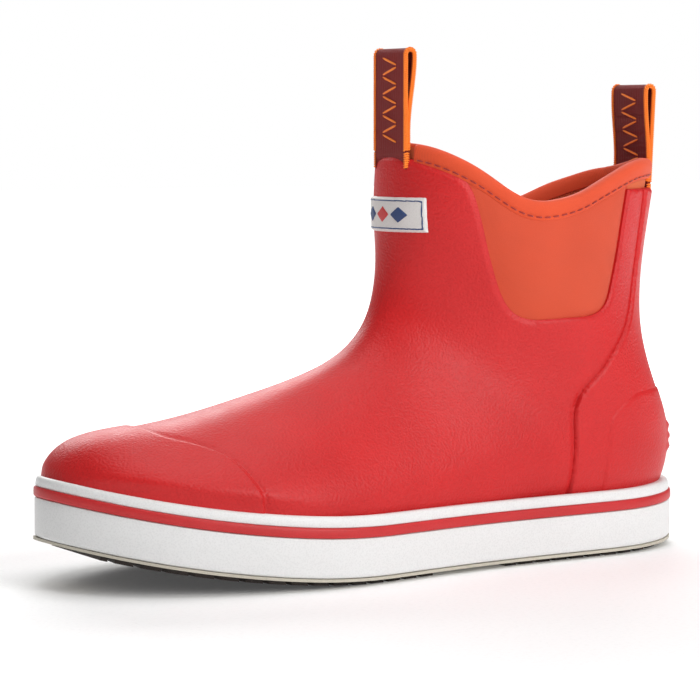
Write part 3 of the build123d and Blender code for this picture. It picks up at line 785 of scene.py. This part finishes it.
pull_root("front_root", "front_pull_tail", FRONT_PULL_AT, 1)
pull_root("rear_root", "rear_pull_tail", REAR_PULL_AT, -1)
pull("front_pull", "front_pull_loop", "front_pull", FRONT_PULL_AT, 1, 0.0)
pull("rear_pull", "rear_pull_loop", "rear_pull", REAR_PULL_AT, -1, REAR_PULL_LEAN)

# ---- Badge ----
badge_middle = TREAD + (BADGE_LOW + BADGE_HIGH) / 2
shin = np.where((X > -45) & (Z > 120), 0.0, -50.0)  # keeps the badge's fields off the rest of the upper
badge_rise = (BADGE_HIGH - BADGE_LOW) / 2 - np.abs(Z - badge_middle)
badge_field = np.minimum(BADGE_HALF - np.abs(Y), badge_rise) + shin
badge_patch = clip_grid(badge_field)
roll = ease(badge_patch[2] / 0.9)
thick("badge_plate", badge_patch, 0.1 - 1.2 * roll, 0.3, BADGE, slot="badge_rubber", replaces=("shin_badge",))
border_patch = clip_grid(np.minimum(badge_field - 1.3, 1.9 - badge_field))
roll = ease(border_patch[2] / 0.25)
thick("badge_frame", border_patch, -1.12 - 0.22 * roll, -1.0, NAVY, slot="badge_print",
      replaces=("badge_border",))
for k, (centre, finish) in enumerate(((-10, NAVY), (0, CORAL), (10, NAVY))):
    diamond = 3.4 - np.abs(Y - centre) * 0.75 - np.abs(Z - badge_middle) + shin
    diamond_patch = clip_grid(diamond)
    roll = ease(diamond_patch[2] / 0.3)
    name = "badge_diamond_%d" % (k + 1)
    stands_for = ("badge_emblem",) if k == 1 else ()
    thick(name, diamond_patch, -1.12 - 0.3 * roll, -1.0, finish, slot="badge_print", replaces=stands_for)

# ---- Cup sole wall swept round the outline ----
rim, rim_in = sole_rim(720)


def sweep(name, profile, finish, **kw):
    """Closed ring with a profile of inset and height, following the toe spring."""
    verts, faces = [], []
    for inset, height in profile:
        xy = rim + rim_in * inset
        z = sole_rise(xy[:, 0]) + TREAD + height
        verts.extend(np.column_stack([xy, z]))
    n, m = len(rim), len(profile)
    for i in range(m):
        k = (i + 1) % m
        for j in range(n):
            l = (j + 1) % n
            faces.append([i * n + j, i * n + l, k * n + l, k * n + j])
    return make_object(name, verts, faces, finish, sharp=50, **kw)


sweep("cup_wall", WALL_PROFILE, WHITE, slot="white_rubber", replaces=("cup_sole",))
sweep("stripe_band", STRIPE_PROFILE, STRIPE, slot="stripe_rubber", replaces=("sidewall_stripe",))


# ---- Footbed cover ----
def floor_at(x):
    """Height of the upper's floor line."""
    return np.interp(x, *np.array(FLOOR).T) + TREAD


def footbed_sides(bed_x):
    """Sideways limits of the room for the footbed at each x, smoothed lengthwise."""
    cloud = (P + N * 7.4).reshape(-1, 3)
    sides = np.full((len(bed_x), 2), np.nan)
    for row, x in zip(sides, bed_x):
        level = floor_at(x) + BED_LIFT
        near = cloud[(np.abs(cloud[:, 0] - x) < 1.6) & (np.abs(cloud[:, 2] - level) < 1.6)]
        if len(near) > 3:
            row[:] = near[:, 1].min(), near[:, 1].max()
    found = ~np.isnan(sides[:, 0])
    kernel = np.ones(7) / 7
    filled = [np.interp(bed_x, bed_x[found], sides[found, k]) for k in (0, 1)]
    return [np.convolve(np.pad(line, 3, mode="edge"), kernel, "valid") for line in filled]


bed_x = np.linspace(-133.0, 126.5, 131)
low, high = footbed_sides(bed_x)
heel_end = np.sqrt(1 - ((-105 - bed_x) / 31.0).clip(0, 1) ** 2.2)
toe_end = np.sqrt(1 - ((bed_x - 88) / 41.0).clip(0, 1) ** 2.4)
mid = (low + high) / 2
half = np.minimum((high - low) / 2 - 0.6, 40 * np.maximum(heel_end * toe_end, 0.12))
cross = np.linspace(-1, 1, 41)
verts = []
for is_top in (False, True):
    for i, x in enumerate(bed_x):
        for c in cross:
            lift = 7.5 - 0.5 * abs(c) ** 8 if is_top else 6.35
            verts.append((x, mid[i] + half[i] * c, floor_at(x) + lift))
make_object("footbed_top", verts, slab_faces(len(bed_x), len(cross)), FOOTBED, body="footbed",
            slot="footbed_cover", replaces=("footbed_cover",))

# ---- Floor, light and camera ----
# The floor glows more with distance, so it runs into the white surroundings without a horizon
floor_mat = material("studio_floor", (0.93, 0.93, 0.93), (0.92, 0.92, 0.92), 0.8, 0.002, 0.02,
                     patch_size=0.5, kind="noise")
floor_tree = floor_mat.node_tree
floor_shader = floor_tree.nodes["Principled BSDF"]
floor_shader.inputs["Emission Color"].default_value = (1, 1, 1, 1)
radius = floor_tree.nodes.new("ShaderNodeVectorMath")
radius.operation = "LENGTH"
where = floor_tree.nodes.new("ShaderNodeTexCoord")
fade = floor_tree.nodes.new("ShaderNodeMapRange")
fade.interpolation_type = "SMOOTHSTEP"
fade.inputs["From Min"].default_value = 0.22
fade.inputs["From Max"].default_value = 1.1
fade.inputs["To Min"].default_value = 0.06
fade.inputs["To Max"].default_value = 1.0
floor_tree.links.new(where.outputs["Object"], radius.inputs[0])
floor_tree.links.new(radius.outputs["Value"], fade.inputs["Value"])
floor_tree.links.new(fade.outputs["Result"], floor_shader.inputs["Emission Strength"])
mesh = bpy.data.meshes.new("studio_floor")
mesh.from_pydata([(-6, -6, 0), (6, -6, 0), (6, 6, 0), (-6, 6, 0)], [], [(0, 1, 2, 3)])
floor = bpy.data.objects.new("studio_floor", mesh)
mesh.materials.append(floor_mat)
bpy.context.scene.collection.objects.link(floor)

world = bpy.data.worlds.new("studio")
world.use_nodes = True
# The world is white to the camera and dim as a light
sky = world.node_tree.nodes["Background"]
sky.inputs["Color"].default_value = (1, 1, 1, 1)
ray = world.node_tree.nodes.new("ShaderNodeLightPath")
strength = world.node_tree.nodes.new("ShaderNodeMapRange")
strength.inputs["To Min"].default_value = 0.20
strength.inputs["To Max"].default_value = 1.0
world.node_tree.links.new(ray.outputs["Is Camera Ray"], strength.inputs["Value"])
world.node_tree.links.new(strength.outputs["Result"], sky.inputs["Strength"])
bpy.context.scene.world = world


def area_light(name, where, aim, size, watts):
    """Rectangular soft light at one point, aimed at another."""
    light = bpy.data.lights.new(name, "AREA")
    light.shape = "RECTANGLE"
    light.size, light.size_y = size
    light.energy = watts
    obj = bpy.data.objects.new(name, light)
    obj.location = where
    obj.rotation_euler = (Vector(aim) - Vector(where)).to_track_quat("-Z", "Y").to_euler()
    bpy.context.scene.collection.objects.link(obj)


area_light("top_softbox", (-0.05, 0.05, 1.35), (0, 0, 0.08), (1.1, 1.1), 9.5)
area_light("side_softbox", (-0.35, 1.25, 0.75), (0, 0, 0.08), (0.9, 0.9), 13.0)
area_light("back_softbox", (-0.45, -1.25, 0.80), (0.02, 0, 0.06), (1.3, 0.6), 14.0)

AZIMUTH = math.radians(149.02)
ELEVATION = math.radians(4.187)
DISTANCE = 1.19056
target = Vector((0, 0, 0.102))
level = math.cos(ELEVATION)
back = Vector((math.sin(AZIMUTH) * level, -math.cos(AZIMUTH) * level, math.sin(ELEVATION)))
camera_data = bpy.data.cameras.new("camera")
camera_data.sensor_width = 36.0
camera_data.lens = 143.17
camera_data.shift_x = -0.02736
camera_data.shift_y = -0.0349
camera = bpy.data.objects.new("camera", camera_data)
camera.location = target + back * DISTANCE
camera.rotation_euler = (-back).to_track_quat("-Z", "Y").to_euler()
bpy.context.scene.collection.objects.link(camera)
bpy.context.scene.camera = camera
bpy.context.scene.view_settings.view_transform = "Standard"
